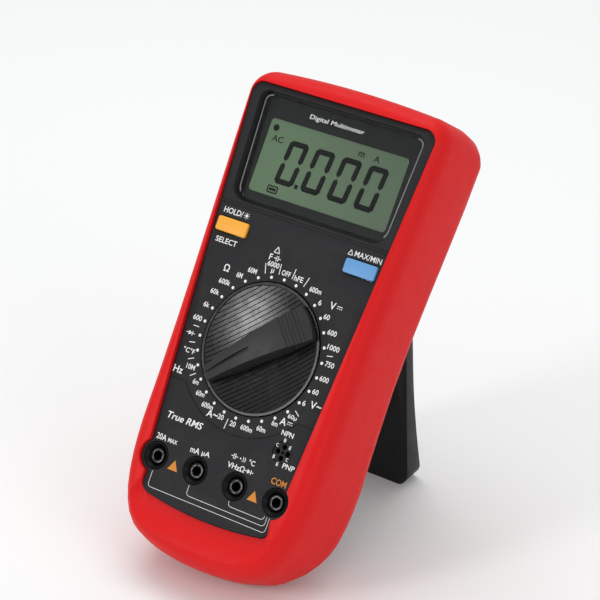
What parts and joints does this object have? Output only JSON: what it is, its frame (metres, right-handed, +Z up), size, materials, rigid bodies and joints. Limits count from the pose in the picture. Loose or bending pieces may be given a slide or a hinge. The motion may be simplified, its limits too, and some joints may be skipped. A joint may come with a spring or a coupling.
{
  "type": "handheld digital multimeter",
  "caption": "Handheld digital multimeter in a soft red holster, leaning back on its open tilt stand, with display, range dial, keys and test jacks.",
  "frame": {"origin": "centre of the whole object's box at the bench surface, between the heel of the holster and the foot of the stand", "axes": "+Z up from the bench, +X to the right across the face, -Y towards the user, whom the leaning face looks up at"},
  "size_m": [0.0878, 0.127, 0.1647],
  "materials": {
    "red_rubber": "soft satin moulded elastomer",
    "charcoal_panel": "finely textured moulded plastic",
    "case_plastic": "finely textured moulded plastic",
    "stand_plastic": "satin moulded plastic",
    "knob_plastic": "satin moulded plastic",
    "black_plastic": "plain moulded plastic",
    "white_plastic": "plain moulded plastic",
    "yellow_key": "satin moulded plastic",
    "blue_key": "satin moulded plastic",
    "clear_lens": "clear glossy plastic window",
    "lcd": "grey-green liquid crystal display",
    "zebra_rubber": "layered connector strip",
    "brass": "bright contact metal",
    "steel": "plated steel",
    "board_laminate": "green solder mask on laminate",
    "fuse_ceramic": "glazed tube with metal caps",
    "shunt_alloy": "bare resistance wire",
    "battery_jacket": "printed metal jacket, plain",
    "thermistor_coat": "dipped coating"
  },
  "bodies": {
    "meter": {"holster": "red_rubber", "front_case": "charcoal_panel", "rear_case": "case_plastic", "battery_door": "case_plastic", "battery_door_screw": "steel", "case_screw_1": "steel", "case_screw_2": "steel", "case_screw_3": "steel", "case_screw_4": "steel", "display_lens": "clear_lens", "lcd_glass": "lcd", "lcd_frame": "white_plastic", "backlight_panel": "white_plastic", "zebra_strip": "zebra_rubber", "hold_switch": "steel", "maxmin_switch": "steel", "main_board": "board_laminate", "jack_collar_1": "black_plastic", "jack_tube_1": "brass", "jack_collar_2": "black_plastic", "jack_tube_2": "brass", "jack_collar_3": "black_plastic", "jack_tube_3": "brass", "jack_collar_4": "black_plastic", "jack_tube_4": "brass", "transistor_socket": "black_plastic", "fuse_1": "fuse_ceramic", "fuse_clip_1": "brass", "fuse_clip_2": "brass", "fuse_2": "fuse_ceramic", "fuse_clip_3": "brass", "fuse_clip_4": "brass", "shunt_wire": "shunt_alloy", "battery": "battery_jacket", "battery_snap": "black_plastic", "buzzer": "black_plastic", "main_chip": "black_plastic", "filter_capacitor": "black_plastic", "protection_thermistor": "thermistor_coat", "quartz_crystal": "steel", "stand_pin": "steel"},
    "selector": {"selector_knob": "knob_plastic", "switch_rotor": "white_plastic", "wiper_1": "brass", "wiper_2": "brass", "wiper_3": "brass", "detent_spring_1": "steel", "detent_spring_2": "steel", "detent_ball_1": "steel", "detent_ball_2": "steel"},
    "hold_key": {"hold_button": "yellow_key"},
    "maxmin_key": {"maxmin_button": "blue_key"},
    "stand": {"tilt_stand": "stand_plastic"}
  },
  "joints": [
    {"name": "selector_turn", "type": "hinge", "parent": "meter", "child": "selector", "pos_m": [0, -0.01795, 0.08358], "axis": [0, 0.8251, -0.565], "continuous": true},
    {"name": "hold_press", "type": "slide", "parent": "meter", "child": "hold_key", "axis": [0, 0.8251, -0.565], "range_m": [0, 0.001], "stiffness_N_per_m": 800},
    {"name": "maxmin_press", "type": "slide", "parent": "meter", "child": "maxmin_key", "axis": [0, 0.8251, -0.565], "range_m": [0, 0.001], "stiffness_N_per_m": 800},
    {"name": "stand_fold", "type": "hinge", "parent": "meter", "child": "stand", "pos_m": [0, 0.04016, 0.10438], "axis": [-1, 0, 0], "range_deg": [0, 38.3]}
  ]
}
